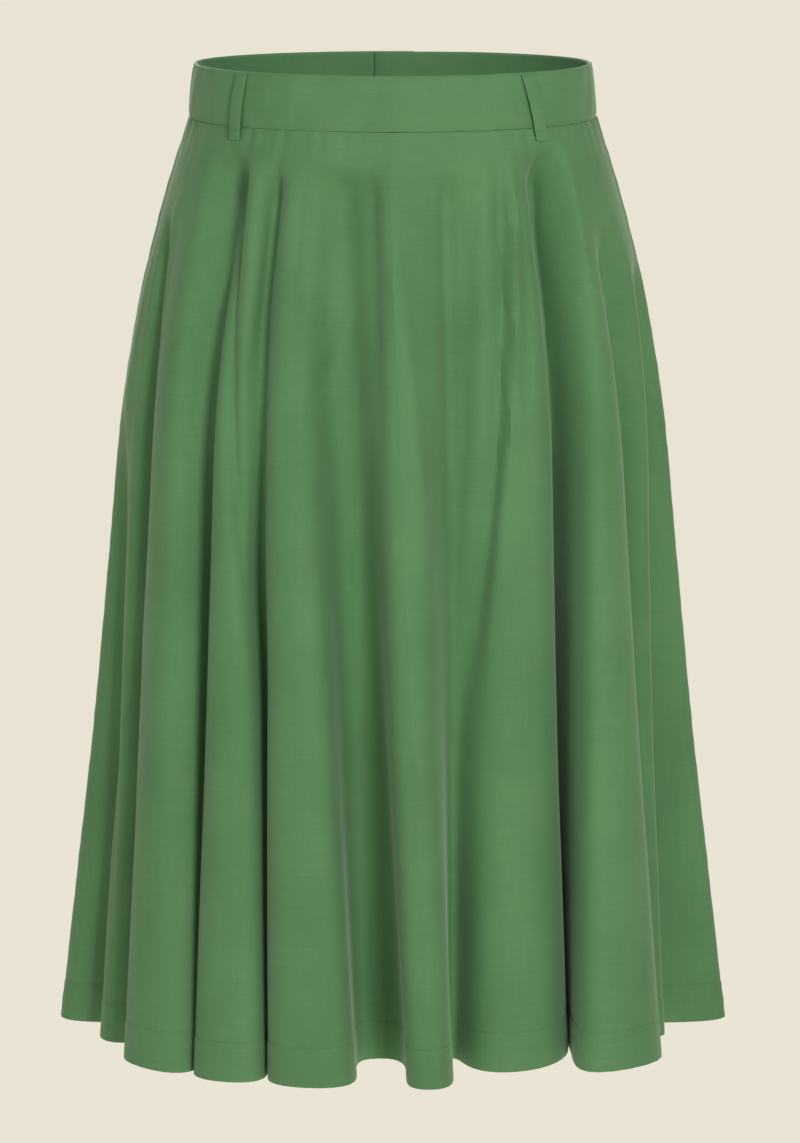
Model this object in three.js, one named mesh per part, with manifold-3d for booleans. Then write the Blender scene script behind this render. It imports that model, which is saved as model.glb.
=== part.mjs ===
// A flared midi skirt on a straight waistband, worn shape, with belt loops and a concealed back zip.
// Millimetres, +Z up. The origin is the middle of the waist opening at half the waistband's height.
// The front faces -Y, the wearer's left side is +X.
import * as THREE from "three";
import { mergeVertices } from "three/addons/utils/BufferGeometryUtils.js";
import Module from "manifold-3d";

const wasm = await Module();
wasm.setup();

// ---- Driving sizes ----
const SEAM_GAP = 0.3; // clearance between neighbouring pieces
const CLOTH = 1.2; // wall of the skirt panels
const BAND_HEIGHT = 35;
const BAND_WALL = 2.6; // doubled and interfaced cloth
const DROP = 601; // vertical height of the panels, from the waist seam to the hem
const CUT_LENGTH = 610; // the same height measured along the cloth
const CUT_SECTOR = Math.PI; // the four panels together make half a circle
const SEAM_Z = -BAND_HEIGHT / 2;

// Plan outline through the crests of the folds, at a drop below the waist seam.
const SECTIONS = [
  { drop: 0, halfWidth: 130.5, front: 106, back: 86 },
  { drop: 40, halfWidth: 143, front: 114, back: 93 },
  { drop: 80, halfWidth: 154, front: 123, back: 100 },
  { drop: 120, halfWidth: 164, front: 131, back: 107 },
  { drop: 190, halfWidth: 176, front: 141, back: 117 },
  { drop: 280, halfWidth: 185, front: 150, back: 127 },
  { drop: 400, halfWidth: 197, front: 161, back: 139 },
  { drop: 500, halfWidth: 209, front: 170, back: 147 },
  { drop: DROP, halfWidth: 221, front: 177, back: 153 },
];

// One row for each fold: its crest, and the valley that follows it round the skirt.
// crestTop, crestHem, valleyTop and valleyHem are degrees round the outline from the centre
// front towards +X, at the waist and at the hem. reach is how far the crest stands out of the
// outline at the hem, depth how far the valley goes in, and start the drop where the fold
// begins. left, right and valley are the roundness of the crest's sides and of the valley.
const FOLDS = [
  { name: "side_left", crestTop: -90, crestHem: -90, reach: 0, left: 24, right: 24,
    valleyTop: -83, valleyHem: -80, depth: 46, start: 180, valley: 14 },
  { name: "narrow_left", crestTop: -79, crestHem: -69, reach: -18, left: 24, right: 26,
    valleyTop: -75, valleyHem: -59, depth: 58, start: 60, valley: 14 },
  { name: "broad_left", crestTop: -60, crestHem: -47, reach: 0, left: 48, right: 58,
    valleyTop: -47, valleyHem: -40, depth: 62, start: 15, valley: 12 },
  { name: "inner_left", crestTop: -40, crestHem: -31, reach: -3, left: 42, right: 52,
    valleyTop: -33, valleyHem: -25, depth: 56, start: 25, valley: 12 },
  { name: "front_left", crestTop: -27, crestHem: -15, reach: -3, left: 44, right: 66,
    valleyTop: -14, valleyHem: -3.2, depth: 86, start: 20, valley: 46 },
  { name: "front_seam", crestTop: -1, crestHem: 6.3, reach: 0, left: 33, right: 28,
    valleyTop: 16, valleyHem: 13.5, depth: 62, start: 25, valley: 14 },
  { name: "front_right", crestTop: 33, crestHem: 26, reach: -31, left: 52, right: 52,
    valleyTop: 46, valleyHem: 53, depth: 88, start: 10, valley: 12 },
  { name: "broad_right", crestTop: 55, crestHem: 43.5, reach: 0, left: 80, right: 88,
    valleyTop: 66, valleyHem: 60, depth: 74, start: 60, valley: 14 },
  { name: "narrow_right", crestTop: 76, crestHem: 71, reach: -34, left: 24, right: 26,
    valleyTop: 83, valleyHem: 80, depth: 60, start: 90, valley: 14 },
  { name: "side_right", crestTop: 90, crestHem: 90, reach: 0, left: 18, right: 30,
    valleyTop: 100, valleyHem: 98, depth: 60, start: 40, valley: 16 },
  { name: "back_1", crestTop: 108, crestHem: 108, reach: -10, left: 36, right: 38,
    valleyTop: 118, valleyHem: 118, depth: 66, start: 30, valley: 16 },
  { name: "back_2", crestTop: 127, crestHem: 130, reach: 0, left: 48, right: 44,
    valleyTop: 138, valleyHem: 140, depth: 76, start: 20, valley: 18 },
  { name: "back_3", crestTop: 148, crestHem: 149, reach: -12, left: 32, right: 34,
    valleyTop: 158, valleyHem: 158, depth: 60, start: 20, valley: 14 },
  { name: "back_4", crestTop: 165, crestHem: 165, reach: 0, left: 32, right: 30,
    valleyTop: 171, valleyHem: 173, depth: 58, start: 40, valley: 12 },
  { name: "back_seam", crestTop: 180, crestHem: 180, reach: -4, left: 30, right: 30,
    valleyTop: 189, valleyHem: 188, depth: 58, start: 40, valley: 12 },
  { name: "back_5", crestTop: 197, crestHem: 197, reach: 0, left: 40, right: 44,
    valleyTop: 206, valleyHem: 206, depth: 70, start: 20, valley: 16 },
  { name: "back_6", crestTop: 214, crestHem: 215, reach: -14, left: 34, right: 34,
    valleyTop: 223, valleyHem: 224, depth: 62, start: 20, valley: 16 },
  { name: "back_7", crestTop: 233, crestHem: 234, reach: 0, left: 46, right: 42,
    valleyTop: 243, valleyHem: 243, depth: 72, start: 20, valley: 16 },
  { name: "back_8", crestTop: 252, crestHem: 252, reach: -10, left: 34, right: 32,
    valleyTop: 262, valleyHem: 261, depth: 62, start: 40, valley: 14 },
];

// Each panel runs from the crest of one named fold to the crest of another.
const PANELS = [
  { name: "front_left", from: "side_left", to: "front_seam" },
  { name: "front_right", from: "front_seam", to: "side_right" },
  { name: "back_right", from: "side_right", to: "back_seam" },
  { name: "back_left", from: "back_seam", to: "side_left" },
];
const ZIP_END = 180; // drop of the zip's foot
const RING_DROPS = [0, 30, 75, 125, ZIP_END, 265, 370, 485, DROP];
const STEPS = 5; // straight lengths of wall between a crest and its valley
const FINE_STEPS = 24; // the same, where only the length of the ring is wanted

// Zip: tapes inside the centre back seam, a slider at the top and its pull tab.
const ZIP = { slitDrop: 30, slit: 1.4, tapeWidth: 10, tapeWall: 0.8, tapeGap: 0.8 };
const SLIDER = { drop: 9, width: 6.5, height: 9, wall: 2.2, plate: 0.8, eyeOut: 2, eye: 1.9, hole: 1.05 };
const TAB = { length: 19, top: 4.2, bottom: 5.6, wall: 1, bar: 1, window: 3, leg: 1.15 };

// Waistband: its ends overlap at the centre back and a button closes them.
const BAND_TOP = { halfWidth: 127, front: 104, back: 84 };
const BAND = { columns: 72, outerEnd: 173.7, innerEnd: 545.4, tuckFrom: 513, tuckTo: 532, tuck: 3 };
const BUTTON = { radius: 7.5, wall: 2.2, bevel: 0.4, hole: 0.9, holeRing: 2 };

// Belt loops: degrees round the waist at each end, and how far each stands off the band.
const LOOP = { width: 9, wall: 1.4, top: 17, bottom: -26, gap: 0.4, bow: 1.8, steps: 10 };
const LOOPS = [
  { name: "belt_loop_front_left", top: -47.3, bottom: -48.5 },
  { name: "belt_loop_front_right", top: 41, bottom: 45 },
  { name: "belt_loop_back_right", top: 139, bottom: 137.5 },
  { name: "belt_loop_back_left", top: 221, bottom: 222.5 },
];

// ---- Finishes ----
const cloth = () => new THREE.MeshStandardMaterial({ color: 0x54844f, roughness: 0.85, metalness: 0 });
const tapeCloth = () => new THREE.MeshStandardMaterial({ color: 0x4b7848, roughness: 0.9, metalness: 0 });
const enamel = () => new THREE.MeshStandardMaterial({ color: 0x4f7f4c, roughness: 0.4, metalness: 0.3 });
const resin = () => new THREE.MeshStandardMaterial({ color: 0x4f7f4c, roughness: 0.35, metalness: 0 });

// ---- Plan curves ----

const mix = (a, b, t) => a + (b - a) * t;
const smooth = (t) => t * t * (3 - 2 * t);
const clamp = (t) => Math.min(1, Math.max(0, t));

// The outline's half width and depths at a drop, on a smooth curve through the sections.
function sectionAt(drop) {
  const last = SECTIONS.length - 1;
  const i = Math.min(last - 1, Math.max(0, SECTIONS.findLastIndex((row) => row.drop <= drop)));
  const height = SECTIONS[i + 1].drop - SECTIONS[i].drop;
  const t = (drop - SECTIONS[i].drop) / height;
  const result = {};
  for (const key of ["halfWidth", "front", "back"]) {
    const slope = (k) => {
      const above = SECTIONS[Math.max(k - 1, 0)];
      const below = SECTIONS[Math.min(k + 1, last)];
      return (below[key] - above[key]) / (below.drop - above.drop);
    };
    result[key] =
      (2 * t ** 3 - 3 * t ** 2 + 1) * SECTIONS[i][key] +
      (t ** 3 - 2 * t ** 2 + t) * slope(i) * height +
      (3 * t ** 2 - 2 * t ** 3) * SECTIONS[i + 1][key] +
      (t ** 3 - t ** 2) * slope(i + 1) * height;
  }
  return result;
}

function outlineNormal(section, degrees) {
  const angle = THREE.MathUtils.degToRad(degrees);
  const depth = Math.cos(angle) >= 0 ? section.front : section.back;
  return new THREE.Vector2(Math.sin(angle) / section.halfWidth, -Math.cos(angle) / depth).normalize();
}

// A point offset mm out of a section's outline, at degrees round it from the centre front.
function outlinePoint(section, degrees, offset) {
  const angle = THREE.MathUtils.degToRad(degrees);
  const depth = Math.cos(angle) >= 0 ? section.front : section.back;
  const point = new THREE.Vector2(section.halfWidth * Math.sin(angle), -depth * Math.cos(angle));
  return point.addScaledVector(outlineNormal(section, degrees), offset);
}

// Millimetres of outline for each degree, near one direction.
function outlineRate(section, degrees) {
  const angle = THREE.MathUtils.degToRad(degrees);
  const depth = Math.cos(angle) >= 0 ? section.front : section.back;
  return THREE.MathUtils.degToRad(
    Math.hypot(section.halfWidth * Math.cos(angle), depth * Math.sin(angle)),
  );
}

// Fold number i may run past the last row: the table then starts again, one turn further on.
function foldAt(i) {
  return { ...FOLDS[i % FOLDS.length], turn: 360 * Math.floor(i / FOLDS.length) };
}

function crestAt(i, drop) {
  const fold = foldAt(i);
  const grown = clamp((drop - fold.start) / (DROP - fold.start));
  return {
    degrees: mix(fold.crestTop, fold.crestHem, drop / DROP) + fold.turn,
    offset: fold.reach * grown,
    before: fold.left,
    after: fold.right,
    grown,
  };
}

function valleyAt(i, drop, fullness) {
  const fold = foldAt(i);
  const grown = clamp((drop - fold.start) / (DROP - fold.start));
  return {
    degrees: mix(fold.valleyTop, fold.valleyHem, drop / DROP) + fold.turn,
    offset: -fold.depth * grown * fullness,
    before: fold.valley,
    after: fold.valley,
    grown,
  };
}

// Points from one crest or valley to the next, on a curve level with the outline at both ends.
// Its handles are as long as the fold is round, so a full fold swells over its own valley.
function foldSide(section, from, to, steps) {
  const rate = outlineRate(section, (from.degrees + to.degrees) / 2);
  const run = (to.degrees - from.degrees) * rate;
  const leave = mix(run / 3, from.after, from.grown);
  const arrive = mix(run / 3, to.before, to.grown);
  const points = [];
  for (let step = 0; step < steps; step++) {
    const t = step / steps;
    const start = (1 - t) ** 2 * (1 + 2 * t);
    const along = 3 * t * (1 - t) ** 2 * leave + 3 * t ** 2 * (1 - t) * (run - arrive) + t ** 3 * run;
    const offset = mix(to.offset, from.offset, start);
    points.push(outlinePoint(section, from.degrees + along / rate, offset));
  }
  return points;
}

function panelCurve(panel, drop, fullness, steps) {
  const section = sectionAt(drop);
  const first = FOLDS.findIndex((fold) => fold.name === panel.from);
  const found = FOLDS.findIndex((fold) => fold.name === panel.to);
  const last = found > first ? found : found + FOLDS.length;
  const points = [];
  for (let i = first; i < last; i++) {
    const valley = valleyAt(i, drop, fullness);
    points.push(...foldSide(section, crestAt(i, drop), valley, steps));
    points.push(...foldSide(section, valley, crestAt(i + 1, drop), steps));
  }
  const end = crestAt(last, drop);
  points.push(outlinePoint(section, end.degrees, end.offset));
  return points;
}

const curveLength = (points) =>
  points.slice(1).reduce((sum, point, i) => sum + point.distanceTo(points[i]), 0);

// How deep a panel's folds are at a drop: as deep as its flat cut's width there makes them.
function fullnessAt(panel, drop) {
  const waist = curveLength(panelCurve(panel, 0, 0, FINE_STEPS));
  const cut = waist + (CUT_SECTOR / PANELS.length) * (drop / DROP) * CUT_LENGTH;
  let low = 0;
  let high = 8;
  for (let turn = 0; turn < 30; turn++) {
    const middle = (low + high) / 2;
    if (curveLength(panelCurve(panel, drop, middle, FINE_STEPS)) < cut) low = middle;
    else high = middle;
  }
  return (low + high) / 2;
}

// ---- Solids ----

// Directions out of a run of plan points that goes round the skirt towards +X at the front.
function outwards(points) {
  return points.map((_, i) => {
    const before = points[Math.max(i - 1, 0)];
    const after = points[Math.min(i + 1, points.length - 1)];
    const along = after.clone().sub(before).normalize();
    return new THREE.Vector2(along.y, -along.x);
  });
}

// A closed wall through levels, each { z, outer, inner } with as many plan points on each face.
function wall(levels) {
  const columns = levels[0].outer.length;
  const rows = levels.length;
  const positions = [];
  for (const face of ["outer", "inner"])
    for (const level of levels) for (const point of level[face]) positions.push(point.x, point.y, level.z);
  const at = (inner, row, column) => (inner * rows + row) * columns + column;
  const index = [];
  const quad = (a, b, c, d) => index.push(a, b, c, a, c, d);
  for (let row = 0; row < rows - 1; row++)
    for (let column = 0; column < columns - 1; column++) {
      const right = column + 1;
      quad(at(0, row, column), at(0, row + 1, column), at(0, row + 1, right), at(0, row, right));
      quad(at(1, row, column), at(1, row, right), at(1, row + 1, right), at(1, row + 1, column));
    }
  for (let column = 0; column < columns - 1; column++) {
    const right = column + 1;
    quad(at(0, 0, column), at(0, 0, right), at(1, 0, right), at(1, 0, column));
    quad(at(0, rows - 1, right), at(0, rows - 1, column), at(1, rows - 1, column), at(1, rows - 1, right));
  }
  for (let row = 0; row < rows - 1; row++) {
    const end = columns - 1;
    quad(at(0, row, 0), at(1, row, 0), at(1, row + 1, 0), at(0, row + 1, 0));
    quad(at(0, row, end), at(0, row + 1, end), at(1, row + 1, end), at(1, row, end));
  }
  const geometry = new THREE.BufferGeometry();
  geometry.setAttribute("position", new THREE.Float32BufferAttribute(positions, 3));
  geometry.setIndex(index);
  geometry.computeVertexNormals();
  return geometry;
}

// Both faces of a wall at one level, from its middle line.
function wallLevel(z, points, normals, thickness) {
  const face = (offset) => points.map((point, i) => point.clone().addScaledVector(normals[i], offset));
  return { z, outer: face(thickness / 2), inner: face(-thickness / 2) };
}

function solidOf(geometry) {
  const bare = geometry.clone();
  bare.deleteAttribute("normal");
  bare.deleteAttribute("uv");
  const merged = mergeVertices(bare, 1e-4);
  return new wasm.Manifold(
    new wasm.Mesh({
      numProp: 3,
      vertProperties: new Float32Array(merged.attributes.position.array),
      triVerts: new Uint32Array(merged.index.array),
    }),
  );
}

function geometryOf(solid) {
  const mesh = solid.getMesh();
  const geometry = new THREE.BufferGeometry();
  geometry.setAttribute("position", new THREE.BufferAttribute(mesh.vertProperties, 3));
  geometry.setIndex(new THREE.BufferAttribute(mesh.triVerts, 1));
  geometry.computeVertexNormals();
  return geometry;
}

function named(name, geometry, material) {
  const mesh = new THREE.Mesh(geometry, material);
  mesh.name = name;
  return mesh;
}

// ---- Skirt panels ----

const panelRings = {};
for (const panel of PANELS)
  panelRings[panel.name] = RING_DROPS.map((drop) =>
    panelCurve(panel, drop, drop > 0 ? fullnessAt(panel, drop) : 0, STEPS),
  );

const zDrop = (drop) => SEAM_Z - SEAM_GAP - drop * (1 - SEAM_GAP / DROP);

// The centre back seam stands open where the slider's neck passes through it.
const seamOpening = (foldName, drop) =>
  foldName === "back_seam" && drop <= ZIP.slitDrop ? ZIP.slit : SEAM_GAP;

// A seam edge stands square to the outline, half the seam's opening short of its crest.
function seamEdge(foldName, drop, side, point, normal) {
  const fold = FOLDS.findIndex((row) => row.name === foldName);
  normal.copy(outlineNormal(sectionAt(drop), crestAt(fold, drop).degrees));
  const along = new THREE.Vector2(-normal.y, normal.x);
  point.addScaledVector(along, (side * seamOpening(foldName, drop)) / 2);
}

function skirtPanel(panel) {
  const levels = RING_DROPS.map((drop, level) => {
    const points = panelRings[panel.name][level].map((point) => point.clone());
    const normals = outwards(points);
    seamEdge(panel.from, drop, 1, points[0], normals[0]);
    seamEdge(panel.to, drop, -1, points.at(-1), normals.at(-1));
    return wallLevel(zDrop(drop), points, normals, CLOTH);
  });
  return named(panel.name, wall(levels), cloth());
}

// ---- Waistband and belt loops ----

const BAND_BOTTOM = sectionAt(0);

function bandSection(z) {
  const t = (BAND_HEIGHT / 2 - z) / BAND_HEIGHT;
  const result = {};
  for (const key of Object.keys(BAND_TOP)) result[key] = mix(BAND_TOP[key], BAND_BOTTOM[key], t);
  return result;
}

function waistband() {
  const levels = [BAND_HEIGHT / 2, 0, -BAND_HEIGHT / 2].map((z) => {
    const points = [];
    for (let column = 0; column <= BAND.columns; column++) {
      const degrees = mix(BAND.outerEnd, BAND.innerEnd, column / BAND.columns);
      const tuck = smooth(clamp((degrees - BAND.tuckFrom) / (BAND.tuckTo - BAND.tuckFrom)));
      points.push(outlinePoint(bandSection(z), degrees, -BAND.tuck * tuck));
    }
    return wallLevel(z, points, outwards(points), BAND_WALL);
  });
  return named("waistband", wall(levels), cloth());
}

// A strip that lies on the band from its top edge to just below the waist seam.
function beltLoop(row) {
  const levels = [];
  for (let step = 0; step <= LOOP.steps; step++) {
    const t = step / LOOP.steps;
    const z = mix(LOOP.top, LOOP.bottom, t);
    const section = bandSection(z);
    const middle = mix(row.top, row.bottom, t);
    const half = LOOP.width / 2 / outlineRate(section, middle);
    const near = BAND_WALL / 2 + LOOP.gap + LOOP.bow * Math.sin(Math.PI * t);
    const face = (offset) => [-half, 0, half].map((turn) => outlinePoint(section, middle + turn, offset));
    levels.push({ z, outer: face(near + LOOP.wall), inner: face(near) });
  }
  return named(row.name, wall(levels), cloth());
}

// ---- Zip ----

// The plan point at a distance along the inner face of a back panel from the centre back.
function alongBackSeam(side, level, distance, inset) {
  const ring = panelRings[side < 0 ? "back_left" : "back_right"][level];
  const points = side < 0 ? ring : [...ring].reverse();
  const normals = outwards(ring);
  if (side > 0) normals.reverse();
  let left = distance;
  let i = 0;
  while (i < points.length - 2 && left > points[i].distanceTo(points[i + 1])) {
    left -= points[i].distanceTo(points[i + 1]);
    i += 1;
  }
  const t = left / points[i].distanceTo(points[i + 1]);
  const normal = normals[i].clone().lerp(normals[i + 1], t).normalize();
  return points[i].clone().lerp(points[i + 1], t).addScaledVector(normal, -inset);
}

function zipTape(side, name) {
  const levels = [];
  RING_DROPS.forEach((drop, level) => {
    if (drop > ZIP_END) return;
    const near = CLOTH / 2 + ZIP.tapeGap;
    const face = (inset) => {
      const run = [0, 1 / 3, 2 / 3, 1].map((t) =>
        alongBackSeam(side, level, mix(ZIP.slit / 2, ZIP.tapeWidth, t), inset),
      );
      return side < 0 ? run : run.reverse();
    };
    levels.push({ z: zDrop(drop), outer: face(near), inner: face(near + ZIP.tapeWall) });
  });
  return named(name, wall(levels), tapeCloth());
}

// Slider body inside the seam, with a thin plate through the slit that ends in an eye.
function zipSlider() {
  const plate = new THREE.Shape();
  const back = -(CLOTH / 2 + ZIP.tapeGap + ZIP.tapeWall + SEAM_GAP);
  plate.moveTo(back - SLIDER.wall / 2, -SLIDER.eye);
  plate.lineTo(SLIDER.eyeOut, -SLIDER.eye);
  plate.absarc(SLIDER.eyeOut, 0, SLIDER.eye, -Math.PI / 2, Math.PI / 2, false);
  plate.lineTo(back - SLIDER.wall / 2, SLIDER.eye);
  plate.closePath();
  const hole = new THREE.Path();
  hole.absarc(SLIDER.eyeOut, 0, SLIDER.hole, 0, 2 * Math.PI, true);
  plate.holes.push(hole);
  const neck = new THREE.ExtrudeGeometry(plate, { depth: SLIDER.plate, bevelEnabled: false, curveSegments: 10 });
  // The shape's x is out of the cloth (+Y) and its y is up (+Z).
  neck.applyMatrix4(
    new THREE.Matrix4().makeBasis(
      new THREE.Vector3(0, 1, 0),
      new THREE.Vector3(0, 0, 1),
      new THREE.Vector3(1, 0, 0),
    ),
  );
  neck.translate(-SLIDER.plate / 2, 0, 0);
  const body = new THREE.BoxGeometry(SLIDER.width, SLIDER.wall, SLIDER.height);
  body.translate(0, back - SLIDER.wall / 2, 0);
  const joined = solidOf(body).add(solidOf(neck));
  return named("zip_slider", geometryOf(joined), enamel());
}

// A tapered tab whose top bar runs through the slider's eye.
function zipPull() {
  const bar = TAB.bar / 2;
  const foot = TAB.length - TAB.bottom / 2;
  const outline = new THREE.Shape();
  outline.moveTo(-TAB.top / 2, bar);
  outline.lineTo(-TAB.bottom / 2, -foot);
  outline.absarc(0, -foot, TAB.bottom / 2, Math.PI, 2 * Math.PI, false);
  outline.lineTo(TAB.top / 2, bar);
  outline.closePath();
  const half = TAB.top / 2 - TAB.leg;
  const window_ = new THREE.Path();
  window_.moveTo(-half, -bar);
  window_.lineTo(half, -bar);
  window_.lineTo(half, -bar - TAB.window);
  window_.lineTo(-half, -bar - TAB.window);
  window_.closePath();
  outline.holes.push(window_);
  const tab = new THREE.ExtrudeGeometry(outline, { depth: TAB.wall, bevelEnabled: false, curveSegments: 12 });
  // The outline's y is up (+Z) and its thickness lies across the bar.
  tab.rotateX(Math.PI / 2);
  tab.translate(0, TAB.wall / 2, 0);
  const mesh = named("zip_pull", tab, enamel());
  mesh.position.y = SLIDER.eyeOut;
  return mesh;
}

// The slider and its tab, laid along the slope of the cloth at the centre back.
function zipHardware() {
  const reach = SECTIONS[1].drop;
  const above = sectionAt(0).back;
  const slope = (sectionAt(reach).back - above) / reach;
  const group = new THREE.Group();
  group.position.set(0, above + slope * SLIDER.drop, zDrop(SLIDER.drop));
  group.rotation.x = Math.atan(slope);
  group.add(zipSlider(), zipPull());
  return group;
}

// ---- Button ----

function waistButton() {
  const disc = new THREE.Shape();
  disc.absarc(0, 0, BUTTON.radius - BUTTON.bevel, 0, 2 * Math.PI, false);
  for (let quarter = 0; quarter < 4; quarter++) {
    const angle = Math.PI / 4 + (quarter * Math.PI) / 2;
    const hole = new THREE.Path();
    hole.absarc(
      BUTTON.holeRing * Math.cos(angle),
      BUTTON.holeRing * Math.sin(angle),
      BUTTON.hole,
      0,
      2 * Math.PI,
      true,
    );
    disc.holes.push(hole);
  }
  const geometry = new THREE.ExtrudeGeometry(disc, {
    depth: BUTTON.wall,
    bevelEnabled: false,
    curveSegments: 12,
  });
  // Stand the disc up so that its face looks out of the back (+Y).
  geometry.rotateX(-Math.PI / 2);
  const button = named("waist_button", geometry, resin());
  const slope = (BAND_BOTTOM.back - BAND_TOP.back) / BAND_HEIGHT;
  const group = new THREE.Group();
  group.position.set(0, bandSection(0).back + BAND_WALL / 2 + SEAM_GAP, 0);
  group.rotation.x = Math.atan(slope);
  group.add(button);
  return group;
}

const skirt = new THREE.Group();
for (const panel of PANELS) skirt.add(skirtPanel(panel));
skirt.add(waistband());
for (const row of LOOPS) skirt.add(beltLoop(row));
skirt.add(zipTape(-1, "zip_tape_left"), zipTape(1, "zip_tape_right"));
skirt.add(zipHardware());
skirt.add(waistButton());

export default skirt;
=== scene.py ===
"""A flared half-circle skirt in green cloth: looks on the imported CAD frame. Metres, +Z up."""
import math

import bpy
import numpy as np
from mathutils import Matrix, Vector


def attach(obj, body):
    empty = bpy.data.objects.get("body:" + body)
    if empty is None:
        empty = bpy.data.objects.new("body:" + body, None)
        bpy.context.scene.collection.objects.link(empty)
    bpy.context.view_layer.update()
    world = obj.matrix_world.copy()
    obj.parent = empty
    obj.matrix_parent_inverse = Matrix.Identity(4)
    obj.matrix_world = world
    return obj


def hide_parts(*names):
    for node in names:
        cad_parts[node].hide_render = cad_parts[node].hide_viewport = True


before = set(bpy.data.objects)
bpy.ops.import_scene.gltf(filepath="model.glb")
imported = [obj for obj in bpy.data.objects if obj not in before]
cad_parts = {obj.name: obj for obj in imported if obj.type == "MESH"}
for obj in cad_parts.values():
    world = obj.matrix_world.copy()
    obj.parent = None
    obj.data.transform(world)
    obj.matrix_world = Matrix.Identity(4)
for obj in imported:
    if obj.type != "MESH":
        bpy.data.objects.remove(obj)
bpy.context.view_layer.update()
MM = 0.001

# ---- The garment's sizes, in millimetres, as in the CAD source ----
BAND_HEIGHT = 35
BAND_WALL = 2.6
DROP = 601
CUT_LENGTH = 610
CUT_SECTOR = math.pi
SEAM_Z = -BAND_HEIGHT / 2
SEAM_GAP = 0.3
CLOTH = 0.9  # the shown wall, thinner than the CAD's 1.2
SEAM_CLEARANCE = 0.04  # between the shown panels' edges

SECTIONS = (
    # drop, half width, front, back
    (0, 130.5, 106, 86),
    (40, 143, 114, 93),
    (80, 154, 123, 100),
    (120, 164, 131, 107),
    (190, 176, 141, 117),
    (280, 185, 150, 127),
    (400, 197, 161, 139),
    (500, 209, 170, 147),
    (DROP, 221, 177, 153),
)
BAND_TOP = (127, 104, 84)

FOLD_COLUMNS = (
    "name crest_top crest_hem reach left right valley_top valley_hem depth start valley"
).split()
FOLDS = [
    dict(zip(FOLD_COLUMNS, row))
    for row in (
        ("side_left", -90, -90, 0, 24, 24, -83, -80, 46, 180, 14),
        ("narrow_left", -79, -69, -18, 24, 26, -75, -59, 58, 60, 14),
        ("broad_left", -60, -47, 0, 48, 58, -47, -40, 62, 15, 12),
        ("inner_left", -40, -31, -3, 42, 52, -33, -25, 56, 25, 12),
        ("front_left", -27, -15, -3, 44, 66, -14, -3.2, 86, 20, 46),
        ("front_seam", -1, 6.3, 0, 33, 28, 16, 13.5, 62, 25, 14),
        ("front_right", 33, 26, -31, 52, 52, 46, 53, 88, 10, 12),
        ("broad_right", 55, 43.5, 0, 80, 88, 66, 60, 74, 60, 14),
        ("narrow_right", 76, 71, -34, 24, 26, 83, 80, 60, 90, 14),
        ("side_right", 90, 90, 0, 18, 30, 100, 98, 60, 40, 16),
        ("back_1", 108, 108, -10, 36, 38, 118, 118, 66, 30, 16),
        ("back_2", 127, 130, 0, 48, 44, 138, 140, 76, 20, 18),
        ("back_3", 148, 149, -12, 32, 34, 158, 158, 60, 20, 14),
        ("back_4", 165, 165, 0, 32, 30, 171, 173, 58, 40, 12),
        ("back_seam", 180, 180, -4, 30, 30, 189, 188, 58, 40, 12),
        ("back_5", 197, 197, 0, 40, 44, 206, 206, 70, 20, 16),
        ("back_6", 214, 215, -14, 34, 34, 223, 224, 62, 20, 16),
        ("back_7", 233, 234, 0, 46, 42, 243, 243, 72, 20, 16),
        ("back_8", 252, 252, -10, 34, 32, 262, 261, 62, 40, 14),
    )
]
PANELS = (
    ("front_left", "side_left", "front_seam"),
    ("front_right", "front_seam", "side_right"),
    ("back_right", "side_right", "back_seam"),
    ("back_left", "back_seam", "side_left"),
)

CREASE_RISE = 34  # the longest run in which a crease gains its full height

# Soft creases laid over the folds: degrees round the outline at the upper and the lower end,
# the drops they run between, their half width and their height (below 0 is a trough).
CREASES = (
    # name, top degrees, foot degrees, from drop, to drop, half width, height
    ("inner_left_trough", -44, -25, 14, 400, 6, -6.0),
    ("inner_left_ridge", -38, -25, 14, 330, 6, 2.6),
    ("broad_left_edge", -50, -41, 110, 601, 8, -3.0),
    ("broad_left_ridge", -70, -54, 40, 520, 4, 2.4),
    ("front_left_diagonal", -8, -19, 96, 176, 7, -2.4),
    ("front_left_diagonal_lip", -10, -21, 100, 172, 6, 1.4),
    ("front_seam_pull", 0, 9, 60, 330, 6, 3.6),
    ("front_right_edge", 30, 15, 14, 420, 6, -7.0),
    ("front_right_ridge", 33, 19, 14, 380, 5, 3.0),
    ("front_right_short", 36, 29, 14, 215, 4, -3.6),
    ("front_right_inner", 24, 14, 30, 400, 8, 1.8),
    ("broad_right_ridge", 49, 45, 30, 330, 6, 2.0),
    ("broad_right_edge", 68, 60, 150, 560, 9, -3.2),
    ("side_left_line", -80, -66, 300, 601, 5, -2.0),
    ("waist_start_side", -47.7, -47, 10, 150, 3.5, -2.6),
    ("waist_start_left", -32, -33, 10, 230, 4, -3.6),
    ("waist_start_inner", -22, -21, 12, 190, 3.5, -2.4),
    ("waist_start_middle", -6, -2, 14, 230, 5, -3.2),
    ("waist_start_right", 14.7, 13, 12, 260, 5, -4.0),
    ("waist_start_outer", 46, 47, 12, 210, 4, -3.0),
    ("back_a", 102, 108, 20, 260, 6, -2.2),
    ("back_b", 122, 126, 30, 330, 7, 2.0),
    ("back_c", 143, 140, 24, 300, 6, -2.4),
    ("back_d", 202, 200, 24, 280, 6, -2.2),
    ("back_e", 226, 230, 30, 360, 7, 2.0),
    ("back_f", 248, 246, 20, 240, 6, -2.4),
)

STEPS = 16  # columns between a crest and its valley
ROWS = 84
HEM_ROWS = 12  # of these, below the hem's stitching
ROW_SPREAD = 1.12  # above 1, the other rows are closer near the waist seam
SOLVE_STEPS = 12  # columns, and drops, at which the folds' depth is solved
SOLVE_DROPS = (6, 16, 30, 50, 75, 100, 125, 155, 180, 220, 265, 315, 370, 430, 485, 545, DROP)


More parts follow.
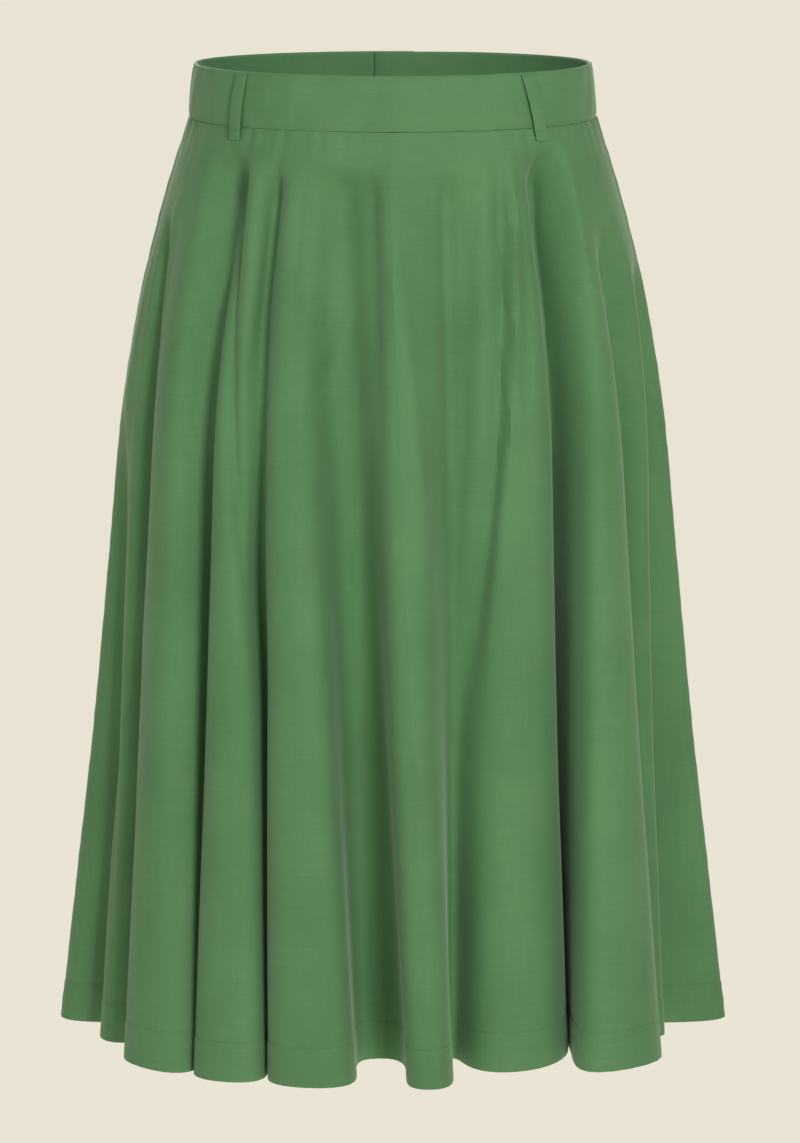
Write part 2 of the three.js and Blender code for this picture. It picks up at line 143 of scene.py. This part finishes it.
# ---- Plan curves, the same as the CAD's ----
def mix(a, b, t):
    return a + (b - a) * t


def clamp(t):
    return min(1.0, max(0.0, t))


def smooth(t):
    t = clamp(t)
    return t * t * (3 - 2 * t)


def section_at(drop):
    last = len(SECTIONS) - 1
    i = min(last - 1, max(0, sum(row[0] <= drop for row in SECTIONS) - 1))
    height = SECTIONS[i + 1][0] - SECTIONS[i][0]
    t = (drop - SECTIONS[i][0]) / height
    result = []
    for key in (1, 2, 3):
        slopes = []
        for k in (i, i + 1):
            above, below = SECTIONS[max(k - 1, 0)], SECTIONS[min(k + 1, last)]
            slopes.append((below[key] - above[key]) / (below[0] - above[0]) * height)
        result.append(
            (2 * t**3 - 3 * t**2 + 1) * SECTIONS[i][key]
            + (t**3 - 2 * t**2 + t) * slopes[0]
            + (3 * t**2 - 2 * t**3) * SECTIONS[i + 1][key]
            + (t**3 - t**2) * slopes[1]
        )
    return result


def outline_point(section, degrees, offset):
    """Points offset out of a section's outline: degrees and offset may be arrays."""
    half_width, front, back = section
    angle = np.radians(degrees)
    s, c = np.sin(angle), np.cos(angle)
    depth = np.where(c >= 0, front, back)
    nx, ny = s / half_width, -c / depth
    size = np.hypot(nx, ny)
    return half_width * s + offset * nx / size, -depth * c + offset * ny / size


def outline_rate(section, degrees):
    half_width, front, back = section
    angle = math.radians(degrees)
    depth = front if math.cos(angle) >= 0 else back
    return math.radians(math.hypot(half_width * math.cos(angle), depth * math.sin(angle)))


def crest_at(i, drop):
    fold, turn = FOLDS[i % len(FOLDS)], 360 * (i // len(FOLDS))
    grown = clamp((drop - fold["start"]) / (DROP - fold["start"]))
    degrees = mix(fold["crest_top"], fold["crest_hem"], drop / DROP) + turn
    return degrees, fold["reach"] * grown, fold["left"], fold["right"], grown


def valley_at(i, drop, fullness):
    fold, turn = FOLDS[i % len(FOLDS)], 360 * (i // len(FOLDS))
    grown = clamp((drop - fold["start"]) / (DROP - fold["start"]))
    degrees = mix(fold["valley_top"], fold["valley_hem"], drop / DROP) + turn
    return degrees, -fold["depth"] * grown * fullness, fold["valley"], fold["valley"], grown


def fold_side(section, start, end, steps):
    """Degrees and offsets from a crest to its valley, or from a valley to the next crest."""
    rate = outline_rate(section, (start[0] + end[0]) / 2)
    run = (end[0] - start[0]) * rate
    leave = mix(run / 3, start[3], start[4])
    arrive = mix(run / 3, end[2], end[4])
    t = np.arange(steps) / steps
    begin = (1 - t) ** 2 * (1 + 2 * t)
    along = 3 * t * (1 - t) ** 2 * leave + 3 * t**2 * (1 - t) * (run - arrive) + t**3 * run
    return start[0] + along / rate, mix(end[1], start[1], begin)


def fold_range(first, last):
    names = [fold["name"] for fold in FOLDS]
    low, high = names.index(first), names.index(last)
    return low, high if high > low else high + len(FOLDS)


def panel_curve(span, drop, fullness, steps):
    """Degrees, offsets and plan points of one panel at one drop."""
    section = section_at(drop)
    degrees, offsets = [], []
    for i in range(*span):
        valley = valley_at(i, drop, fullness)
        for start, end in ((crest_at(i, drop), valley), (valley, crest_at(i + 1, drop))):
            d, o = fold_side(section, start, end, steps)
            degrees.append(d)
            offsets.append(o)
    end = crest_at(span[1], drop)
    degrees = np.append(np.concatenate(degrees), end[0])
    offsets = np.append(np.concatenate(offsets), end[1])
    return degrees, np.stack(outline_point(section, degrees, offsets), axis=1)


MOST_FULLNESS = 8.0
HALVINGS = 24


def curve_length(points):
    return float(np.linalg.norm(np.diff(points, axis=0), axis=1).sum())


def fullness_at(span, drop):
    """How deep a panel's folds are at a drop: as deep as its flat cut's width there makes them."""
    waist = curve_length(panel_curve(span, 0, 0, SOLVE_STEPS)[1])
    cut = waist + CUT_SECTOR / len(PANELS) * drop / DROP * CUT_LENGTH
    low, high = 0.0, MOST_FULLNESS
    for _ in range(HALVINGS):
        middle = (low + high) / 2
        if curve_length(panel_curve(span, drop, middle, SOLVE_STEPS)[1]) < cut:
            low = middle
        else:
            high = middle
    return (low + high) / 2


# ---- Small detail laid on the folds ----
HEM_STITCH = 25  # height of the hem's stitching above its edge
TURN_UP = 0.35  # how far the hem's turn-up stands proud
TURN_UP_STEP = 3  # the drop in which it gains that
STITCH_DIP = (0.35, 1.1)  # depth and half width of the line pressed in by the hem's stitches

# A seam's ridge: its height and half width, more height near the waist (with the drop it is
# greatest at, and its run), the groove along the seam itself, and puckers down it.
SEAM_RIDGE = (0.4, 3.6)
SEAM_AT_WAIST = (1.1, 60, 62)
SEAM_GROOVE = (0.2, 0.7)
SEAM_PUCKERS = ((0.12, 3.1, 0), (0.08, 1.7, 1))  # height, drop for each radian, phase

# Waves round the skirt: height, how many go round, phase.
WAIST_WAVES = ((0.35, 61, 0), (0.25, 97, 1))
WAIST_FADE = 14  # the drop in which the waist's waves fall to about a third
HEM_WAVES = ((0.8, 3, 0.6), (0.55, 7, 2.1), (0.35, 12, 0))


def bell(x, middle, half):
    """1 at the middle, about a third at half away from it, and 0 far off."""
    return np.exp(-(((x - middle) / half) ** 2))


def waves(degrees, rows):
    return sum(height * np.sin(np.radians(degrees) * count + phase) for height, count, phase in rows)


def crease_height(degrees, drop):
    """The creases' offset out of the cloth at one drop, for an array of degrees."""
    section = section_at(drop)
    total = np.zeros_like(degrees)
    for _, top, foot, begin, end, half, height in CREASES:
        if not begin < drop < end:
            continue
        middle = mix(top, foot, (drop - begin) / (end - begin))
        rate = outline_rate(section, middle)
        away = (degrees - middle + 180) % 360 - 180
        rise = min(0.3 * (end - begin), CREASE_RISE)
        ramp = smooth((drop - begin) / rise) * smooth((end - drop) / (0.5 * (end - begin)))
        total += height * ramp * bell(away * rate, 0, half)
    return total


def seam_detail(points, drop):
    """A ridge where a seam's allowances lie under a panel's edges, puckered along it."""
    length = np.concatenate([[0], np.cumsum(np.linalg.norm(np.diff(points, axis=0), axis=1))])
    edge = np.minimum(length, length[-1] - length)
    pucker = sum(height * math.sin(drop / run + phase) for height, run, phase in SEAM_PUCKERS)
    rise, half = SEAM_RIDGE
    more, middle, run = SEAM_AT_WAIST
    groove, groove_half = SEAM_GROOVE
    rise = rise + pucker + more * bell(drop, middle, run)
    return rise * bell(edge, 0, half) - groove * bell(edge, 0, groove_half)


def waist_detail(degrees, drop):
    """Gathered softness where the cloth leaves the waist seam."""
    return math.exp(-drop / WAIST_FADE) * waves(degrees, WAIST_WAVES)


def hem_detail(drop):
    """The turn-up's thickness, with a dip at the line of stitches."""
    above = DROP - drop
    dip, half = STITCH_DIP
    step = TURN_UP * smooth((HEM_STITCH + TURN_UP_STEP / 2 - above) / TURN_UP_STEP)
    return step - dip * bell(above, HEM_STITCH, half)


def hem_wave(degrees, drop):
    """The hem isn't dead level: the lower half of the cloth dips and lifts a little round it."""
    return waves(degrees, HEM_WAVES) * smooth((drop - 0.5 * DROP) / (0.5 * DROP))


# ---- Mesh helpers ----
SHARP_ANGLE = math.radians(55)  # a wall's faces are smooth, and its rims crisp


def link(obj):
    bpy.context.scene.collection.objects.link(obj)
    return obj


def new_mesh(name, vertices, faces, material):
    mesh = bpy.data.meshes.new(name)
    mesh.from_pydata([tuple(v) for v in vertices], [], faces)
    mesh.validate()
    mesh.materials.append(material)
    mesh.polygons.foreach_set("use_smooth", [True] * len(mesh.polygons))
    mesh.set_sharp_from_angle(angle=SHARP_ANGLE)
    return link(bpy.data.objects.new(name, mesh))


def closed_wall(grid_out, grid_in):
    """Vertices and quads of a closed wall between two grids, rows going down, columns towards +X."""
    rows, columns = grid_out.shape[:2]
    vertices = np.concatenate([grid_out.reshape(-1, 3), grid_in.reshape(-1, 3)]) * MM

    def at(face, row, column):
        return (face * rows + row) * columns + column

    faces = []
    for r in range(rows - 1):
        for c in range(columns - 1):
            faces.append((at(0, r, c), at(0, r + 1, c), at(0, r + 1, c + 1), at(0, r, c + 1)))
            faces.append((at(1, r, c), at(1, r, c + 1), at(1, r + 1, c + 1), at(1, r + 1, c)))
    for c in range(columns - 1):
        faces.append((at(0, 0, c), at(0, 0, c + 1), at(1, 0, c + 1), at(1, 0, c)))
        r = rows - 1
        faces.append((at(0, r, c + 1), at(0, r, c), at(1, r, c), at(1, r, c + 1)))
    for r in range(rows - 1):
        c = columns - 1
        faces.append((at(0, r, 0), at(1, r, 0), at(1, r + 1, 0), at(0, r + 1, 0)))
        faces.append((at(0, r, c), at(0, r + 1, c), at(1, r + 1, c), at(1, r, c)))
    return vertices, faces


def plan_normals(points):
    along = np.gradient(points, axis=0)
    normal = np.stack([along[:, 1], -along[:, 0]], axis=1)
    return normal / np.linalg.norm(normal, axis=1, keepdims=True)


# ---- Materials ----
LIT = (0.119, 0.272, 0.117, 1)
DEEP = (0.094, 0.222, 0.094, 1)
TAPE = (0.095, 0.20, 0.09, 1)
SHEEN_TINT = (0.78, 0.95, 0.74, 1)
CROSS_SCALE = 40  # how often a weft thread changes along its length, for each metre
DOWN_SCALE = 26  # the same for a warp thread
MOTTLE_SCALE = (22, 22, 14)


def new_material(name):
    material = bpy.data.materials.new(name)
    material.use_nodes = True
    nodes = material.node_tree.nodes
    return material, nodes, material.node_tree.links, nodes["Principled BSDF"]


def blend_colours(nodes, links, factor, dark, light, shader):
    colour = nodes.new("ShaderNodeMix")
    colour.data_type = "RGBA"
    colour.inputs["A"].default_value = dark
    colour.inputs["B"].default_value = light
    links.new(factor, colour.inputs["Factor"])
    links.new(colour.outputs["Result"], shader.inputs["Base Color"])


def cloth_material(name, light, dark, thread=0.00042, bump=0.16):
    """Plain weave: two crossed sets of threads, a mottle and a soft sheen."""
    material, nodes, links, shader = new_material(name)
    shader.inputs["Roughness"].default_value = 0.78
    shader.inputs["Specular IOR Level"].default_value = 0.28
    shader.inputs["Sheen Weight"].default_value = 0.32
    shader.inputs["Sheen Roughness"].default_value = 0.42
    shader.inputs["Sheen Tint"].default_value = SHEEN_TINT
    place = nodes.new("ShaderNodeTexCoord")

    def threads(scale, seed):
        noise = nodes.new("ShaderNodeTexNoise")
        noise.inputs["Scale"].default_value = 1.0
        noise.inputs["Detail"].default_value = 2.0
        stretch = nodes.new("ShaderNodeMapping")
        stretch.inputs["Scale"].default_value = scale
        stretch.inputs["Location"].default_value = (seed, seed * 1.7, seed * 0.6)
        links.new(place.outputs["Object"], stretch.inputs["Vector"])
        links.new(stretch.outputs["Vector"], noise.inputs["Vector"])
        return noise.outputs["Fac"]

    fine = 0.5 / thread
    warp = threads((fine, fine, DOWN_SCALE), 3.1)
    weft = threads((CROSS_SCALE, CROSS_SCALE, fine), 8.7)
    mottle = threads(MOTTLE_SCALE, 5.5)
    weave = nodes.new("ShaderNodeMath")
    weave.operation = "ADD"
    links.new(warp, weave.inputs[0])
    links.new(weft, weave.inputs[1])
    blend = nodes.new("ShaderNodeMath")
    blend.operation = "MULTIPLY_ADD"
    blend.inputs[1].default_value = 0.45
    links.new(weave.outputs[0], blend.inputs[0])
    links.new(mottle, blend.inputs[2])
    ramp = nodes.new("ShaderNodeMapRange")
    ramp.inputs["From Min"].default_value = 0.65
    ramp.inputs["From Max"].default_value = 1.25
    links.new(blend.outputs[0], ramp.inputs["Value"])
    blend_colours(nodes, links, ramp.outputs["Result"], dark, light, shader)
    height = nodes.new("ShaderNodeBump")
    height.inputs["Strength"].default_value = bump
    height.inputs["Distance"].default_value = 0.0004
    links.new(weave.outputs[0], height.inputs["Height"])
    links.new(height.outputs["Normal"], shader.inputs["Normal"])
    return material


def hard_material(name, light, dark, roughness, metallic, coat):
    """Enamel or resin: a faint cloudy colour with fine wear in its roughness."""
    material, nodes, links, shader = new_material(name)
    shader.inputs["Metallic"].default_value = metallic
    shader.inputs["Coat Weight"].default_value = coat
    place = nodes.new("ShaderNodeTexCoord")
    cloud = nodes.new("ShaderNodeTexNoise")
    cloud.inputs["Scale"].default_value = 260
    cloud.inputs["Detail"].default_value = 4
    links.new(place.outputs["Object"], cloud.inputs["Vector"])
    blend_colours(nodes, links, cloud.outputs["Fac"], dark, light, shader)
    wear = nodes.new("ShaderNodeMapRange")
    wear.inputs["To Min"].default_value = roughness - 0.08
    wear.inputs["To Max"].default_value = roughness + 0.12
    links.new(cloud.outputs["Fac"], wear.inputs["Value"])
    links.new(wear.outputs["Result"], shader.inputs["Roughness"])
    return material


CLOTH_MATERIAL = cloth_material("green_cloth", LIT, DEEP)
THREAD_MATERIAL = cloth_material("green_thread", (0.10, 0.225, 0.096, 1), (0.07, 0.165, 0.068, 1), 0.0002)
TAPE_MATERIAL = cloth_material("green_tape", TAPE, (0.075, 0.165, 0.072, 1), 0.0006, 0.3)
METAL_MATERIAL = hard_material("green_enamel", (0.1, 0.22, 0.095, 1), (0.08, 0.18, 0.075, 1), 0.34, 0.35, 0.4)
RESIN_MATERIAL = hard_material("green_resin", (0.11, 0.235, 0.1, 1), (0.085, 0.19, 0.08, 1), 0.3, 0, 0.3)


# ---- Skirt panels ----
def drop_to_z(drop):
    return SEAM_Z - SEAM_GAP - drop * (1 - SEAM_GAP / DROP)


def row_drops():
    """Rows are closer near the waist seam and at the hem's turn-up."""
    upper = np.linspace(0, 1, ROWS - HEM_ROWS) ** ROW_SPREAD * (DROP - HEM_STITCH - 4)
    lower = np.linspace(DROP - HEM_STITCH - 3, DROP, HEM_ROWS)
    return np.concatenate([upper, lower])


PANEL_GRIDS = {}  # each panel's outer face, which the hem's stitches follow


def skirt_panel(name, first, last):
    span = fold_range(first, last)
    solved = [fullness_at(span, drop) for drop in SOLVE_DROPS]
    outer, inner = [], []
    for drop in row_drops():
        fullness = float(np.interp(drop, SOLVE_DROPS, solved))
        degrees, points = panel_curve(span, drop, fullness, STEPS)
        normals = plan_normals(points)
        # both panels of a seam leave it square to the outline, so that their edges meet
        for end in (0, -1):
            x, y = outline_point(section_at(drop), degrees[end], 1.0)
            x0, y0 = outline_point(section_at(drop), degrees[end], 0.0)
            normals[end] = (x - x0, y - y0)
        along = np.stack([-normals[:, 1], normals[:, 0]], axis=1)
        points[0] += along[0] * SEAM_CLEARANCE / 2
        points[-1] -= along[-1] * SEAM_CLEARANCE / 2
        lift = (
            crease_height(degrees, drop)
            + seam_detail(points, drop)
            + waist_detail(degrees, drop)
            + hem_detail(drop)
        )
        z = drop_to_z(drop) + hem_wave(degrees, drop)
        level = points + normals * lift[:, None]
        for rows, offset in ((outer, CLOTH / 2), (inner, -CLOTH / 2)):
            rows.append(np.column_stack([level + normals * offset, z]))
    PANEL_GRIDS[name] = np.array(outer)
    vertices, faces = closed_wall(np.array(outer), np.array(inner))
    piece = new_mesh(name + "_cloth", vertices, faces, CLOTH_MATERIAL)
    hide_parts(name)
    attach(piece, "skirt")
    return piece


# ---- Waistband and belt loops ----
BAND = {"columns": 260, "outer_end": 173.7, "inner_end": 545.4, "tuck_from": 513, "tuck_to": 532, "tuck": 3}
BAND_ROUND = {"edge": 0.045, "edge_least": 0.12, "end_degrees": 0.7, "end_least": 0.05}
BAND_PUFF = 0.5  # how far the band swells between its edges
BAND_SEAMS = ((0.5, 0.06, 0.02), (0.6, 0.955, 0.02))  # depth, share of the height, half width
BAND_RIPPLES = ((0.22, 23, 2), (0.18, 37, 4))  # height, how many go round, slant
INNER_RIPPLE = 0.6  # the inner face's share of the ripples
LOOP = {"width": 9, "wall": 1.4, "top": 17, "bottom": -26, "gap": 0.4, "bow": 1.8}
LOOP_EDGE = {"round": 0.03, "round_least": 0.25, "side_least": 0.06, "clear": 0.15}
LOOP_FOLD = {"from": 0.86, "run": 0.05, "more": 0.35}  # the foot, turned under
LOOP_STITCH = {"depth": 0.28, "at": 0.66, "half": 0.09}  # shares of half the width
LOOP_TACKS = {"at": (0.05, 0.845), "half": 0.42, "clear": 0.2}
LOOPS = (
    # name, degrees at the top, degrees at the foot
    ("belt_loop_front_left", -47.3, -48.5),
    ("belt_loop_front_right", 41, 45),
    ("belt_loop_back_right", 139, 137.5),
    ("belt_loop_back_left", 221, 222.5),
)


def band_section(z):
    t = (BAND_HEIGHT / 2 - z) / BAND_HEIGHT
    return [mix(a, b, t) for a, b in zip(BAND_TOP, section_at(0))]


def round_edge(t, edge):
    """1 inside a run from 0 to 1, falling round to 0 at both its ends."""
    near = min(t, 1 - t) / edge
    return math.sqrt(max(0.0, 1 - (1 - near) ** 2)) if near < 1 else 1.0


def waistband():
    """A doubled strip whose ends overlap at the centre back, the inner one tucked in."""
    levels = np.concatenate([np.linspace(0, 0.06, 6), np.linspace(0.1, 0.9, 22), np.linspace(0.94, 1, 6)])
    degrees = np.linspace(BAND["outer_end"], BAND["inner_end"], BAND["columns"] + 1)
    a = np.radians(degrees)
    span = BAND["tuck_to"] - BAND["tuck_from"]
    tuck = np.array([-BAND["tuck"] * smooth((d - BAND["tuck_from"]) / span) for d in degrees])
    ends = np.minimum(degrees - degrees[0], degrees[-1] - degrees) / BAND_ROUND["end_degrees"]
    thin = np.sqrt(np.clip(1 - (1 - np.clip(ends, 0, 1)) ** 2, BAND_ROUND["end_least"], 1))
    (high, many, slant), (low, more, lean) = BAND_RIPPLES
    outer, inner = [], []
    for t in levels:
        z = mix(BAND_HEIGHT / 2, -BAND_HEIGHT / 2, t)
        section = band_section(z)
        half = BAND_WALL / 2 * max(BAND_ROUND["edge_least"], round_edge(t, BAND_ROUND["edge"])) * thin
        middle = math.sin(math.pi * t)
        seams = -sum(depth * bell(t, at, width) for depth, at, width in BAND_SEAMS)
        ripple = high * np.sin(many * a + slant * t) * middle + low * np.sin(more * a + lean * t)
        for rows, side in ((outer, 1), (inner, -1)):
            lift = tuck + side * half
            lift += BAND_PUFF * middle + seams + ripple if side > 0 else ripple * INNER_RIPPLE
            x, y = outline_point(section, degrees, lift)
            rows.append(np.column_stack([x, y, np.full_like(x, z)]))
    vertices, faces = closed_wall(np.array(outer), np.array(inner))
    piece = new_mesh("waistband_cloth", vertices, faces, CLOTH_MATERIAL)
    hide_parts("waistband")
    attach(piece, "skirt")
    return piece


def belt_loop(name, top, foot):
    """A folded strip with stitched edges, turned under at its foot."""
    along = np.linspace(0, 1, 30)
    across = np.linspace(-1, 1, 13)
    outer, inner = [], []
    for t in along:
        z = mix(LOOP["top"], LOOP["bottom"], t)
        section = band_section(z)
        middle = mix(top, foot, t)
        rate = outline_rate(section, middle)
        near = BAND_WALL / 2 + LOOP["gap"] + LOOP_EDGE["clear"] + LOOP["bow"] * math.sin(math.pi * t)
        fold = 1 + LOOP_FOLD["more"] * smooth((t - LOOP_FOLD["from"]) / LOOP_FOLD["run"])
        wall = LOOP["wall"] * max(LOOP_EDGE["round_least"], round_edge(t, LOOP_EDGE["round"])) * fold
        degrees = middle + across * LOOP["width"] / 2 / rate
        edge = np.sqrt(np.clip(1 - np.abs(across) ** 8, LOOP_EDGE["side_least"], 1))
        stitch = -LOOP_STITCH["depth"] * bell(np.abs(across), LOOP_STITCH["at"], LOOP_STITCH["half"])
        x, y = outline_point(section, degrees, near + wall / 2 + wall / 2 * edge + stitch)
        outer.append(np.column_stack([x, y, np.full_like(x, z)]))
        x, y = outline_point(section, degrees, near + wall / 2 - wall / 2 * edge)
        inner.append(np.column_stack([x, y, np.full_like(x, z)]))
    vertices, faces = closed_wall(np.array(outer), np.array(inner))
    piece = new_mesh(name + "_cloth", vertices, faces, CLOTH_MATERIAL)
    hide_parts(name)
    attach(piece, "skirt")
    return piece


# ---- Stitches ----
STITCH = {"length": 2.6, "gap": 1.1, "half": 0.16, "rise": 0.12, "rings": 4, "sides": 6}


def stitch_row(name, lines):
    """One joined mesh of short thread humps along lines of surface points, in millimetres."""
    vertices, faces = [], []
    pitch = STITCH["length"] + STITCH["gap"]
    rings, sides = STITCH["rings"], STITCH["sides"]
    for line in lines:
        steps = np.linalg.norm(np.diff(line, axis=0), axis=1)
        length = np.concatenate([[0], np.cumsum(steps)])
        for k in range(int(length[-1] // pitch)):
            at = k * pitch + np.linspace(0, STITCH["length"], rings)
            spine = np.column_stack([np.interp(at, length, line[:, i]) for i in range(3)])
            tangent = spine[-1] - spine[0]
            tangent /= np.linalg.norm(tangent)
            out = np.array([spine[0][0], spine[0][1], 0.0])
            out -= tangent * out.dot(tangent)
            out /= np.linalg.norm(out)
            side = np.cross(tangent, out)
            base = len(vertices)
            for j, point in enumerate(spine):
                hump = STITCH["rise"] if 0 < j < rings - 1 else -STITCH["rise"]
                for turn in range(sides):
                    angle = turn * math.tau / sides
                    offset = side * math.cos(angle) + out * math.sin(angle)
                    vertices.append((point + out * hump + offset * STITCH["half"]) * MM)
            for j in range(rings - 1):
                for turn in range(sides):
                    a, b = base + j * sides + turn, base + j * sides + (turn + 1) % sides
                    faces.append((a, b, b + sides, a + sides))
            last = base + (rings - 1) * sides
            faces.append(tuple(base + turn for turn in range(sides - 1, -1, -1)))
            faces.append(tuple(last + turn for turn in range(sides)))
    piece = new_mesh(name, vertices, faces, THREAD_MATERIAL)
    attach(piece, "skirt")
    return piece


def hem_stitches(panel):
    """The hem's stitches, along the panel's outer face at the turn-up's height."""
    drops = row_drops()
    row = int(np.argmin(np.abs(drops - (DROP - HEM_STITCH))))
    return stitch_row(panel + "_hem_stitches", [PANEL_GRIDS[panel][row]])


def loop_stitches():
    """Bar tacks across each belt loop's foot and head."""
    lines = []
    for _, top, foot in LOOPS:
        for t in LOOP_TACKS["at"]:
            z = mix(LOOP["top"], LOOP["bottom"], t)
            section = band_section(z)
            middle = mix(top, foot, t)
            half = LOOP_TACKS["half"] * LOOP["width"] / outline_rate(section, middle)
            off = LOOP["gap"] + LOOP_TACKS["clear"] + LOOP["bow"] * math.sin(math.pi * t)
            out = BAND_WALL / 2 + off + LOOP["wall"]
            degrees = np.linspace(middle - half, middle + half, 9)
            x, y = outline_point(section, degrees, out)
            lines.append(np.column_stack([x, y, np.full_like(x, z)]))
    return stitch_row("belt_loop_stitches", lines)


# ---- Stage, light and camera, in metres ----
PALE = (0.81, 0.76, 0.645, 1)
NEAR_BLACK = (0.02, 0.02, 0.02, 1)  # the paper glows evenly, and hardly takes the lights
BACKDROP = {"floor": -1.25, "front": -6.0, "wall": 5.5, "top": 6.0, "half_width": 9.0, "bend": 1.0}
BEND_STEPS = 12
LIGHT_AIM = (0, 0, -0.3)
LIGHTS = (
    # name, place, aim, size, power
    ("key", (0.95, -3.0, 1.1), LIGHT_AIM, (0.7, 1.0), 61),
    ("fill", (-1.5, -2.7, 0.5), LIGHT_AIM, (1.2, 1.6), 12),
    ("top", (0.1, -0.4, 2.2), (0, 0, -0.2), (1.4, 1.2), 9),
    ("back", (-0.6, 3.0, 0.9), LIGHT_AIM, (1.4, 1.6), 40),
)
ROOM_COLOUR = (1.0, 0.99, 0.96, 1)
ROOM_STRENGTH = 0.09
CAMERA_PLACE = (0.0047, -3.2, 0.2896)
CAMERA_TILT = 10.73  # degrees below level
SENSOR = 36
FOCAL_IN_FRAME_HEIGHTS = 4.337


def paper_material():
    material, _, _, shader = new_material("pale_paper")
    shader.inputs["Base Color"].default_value = NEAR_BLACK
    shader.inputs["Roughness"].default_value = 1.0
    shader.inputs["Specular IOR Level"].default_value = 0.0
    shader.inputs["Emission Color"].default_value = PALE
    shader.inputs["Emission Strength"].default_value = 1.0
    return material


def backdrop():
    """A floor that curves up into a wall, well below and behind the skirt."""
    floor_z, wall_y, bend = BACKDROP["floor"], BACKDROP["wall"], BACKDROP["bend"]
    profile = [(BACKDROP["front"], floor_z), (wall_y - bend, floor_z)]
    for k in range(1, BEND_STEPS + 1):
        a = k * math.pi / 2 / BEND_STEPS
        profile.append((wall_y - bend + bend * math.sin(a), floor_z + bend * (1 - math.cos(a))))
    profile.append((wall_y, BACKDROP["top"]))
    vertices, faces = [], []
    for x in (-BACKDROP["half_width"], BACKDROP["half_width"]):
        vertices += [(x, y, z) for y, z in profile]
    n = len(profile)
    for k in range(n - 1):
        faces.append((k, n + k, n + k + 1, k + 1))
    stage = new_mesh("backdrop", vertices, faces, paper_material())


def area_light(name, place, aim, size, power):
    light = bpy.data.lights.new(name, "AREA")
    light.shape = "RECTANGLE"
    light.size, light.size_y = size
    light.energy = power
    obj = link(bpy.data.objects.new(name, light))
    obj.location = place
    obj.rotation_euler = (Vector(aim) - Vector(place)).to_track_quat("-Z", "Y").to_euler()


def lights():
    for row in LIGHTS:
        area_light(*row)
    world = bpy.data.worlds.new("soft_room")
    world.use_nodes = True
    room = world.node_tree.nodes["Background"]
    room.inputs["Color"].default_value = ROOM_COLOUR
    room.inputs["Strength"].default_value = ROOM_STRENGTH
    bpy.context.scene.world = world


def camera():
    """Above the waist and tilted down, at the angle the skirt is seen from."""
    data = bpy.data.cameras.new("camera")
    data.sensor_fit = "VERTICAL"
    data.sensor_height = SENSOR
    data.sensor_width = SENSOR
    data.lens = FOCAL_IN_FRAME_HEIGHTS * SENSOR
    data.clip_end = 30
    obj = link(bpy.data.objects.new("camera", data))
    obj.location = CAMERA_PLACE
    obj.rotation_euler = (math.radians(90 - CAMERA_TILT), 0, 0)
    bpy.context.scene.camera = obj
    bpy.context.scene.view_settings.view_transform = "Standard"


# ---- Make everything ----
camera()
backdrop()
lights()
panels = {name: skirt_panel(name, first, last) for name, first, last in PANELS}
band = waistband()
loops = [belt_loop(*row) for row in LOOPS]
hems = {name: hem_stitches(name) for name, _, _ in PANELS}
loop_stitches()

for node, material in (
    ("zip_tape_left", TAPE_MATERIAL),
    ("zip_tape_right", TAPE_MATERIAL),
    ("zip_slider", METAL_MATERIAL),
    ("zip_pull", METAL_MATERIAL),
    ("waist_button", RESIN_MATERIAL),
):
    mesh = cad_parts[node].data
    mesh.materials.clear()
    mesh.materials.append(material)
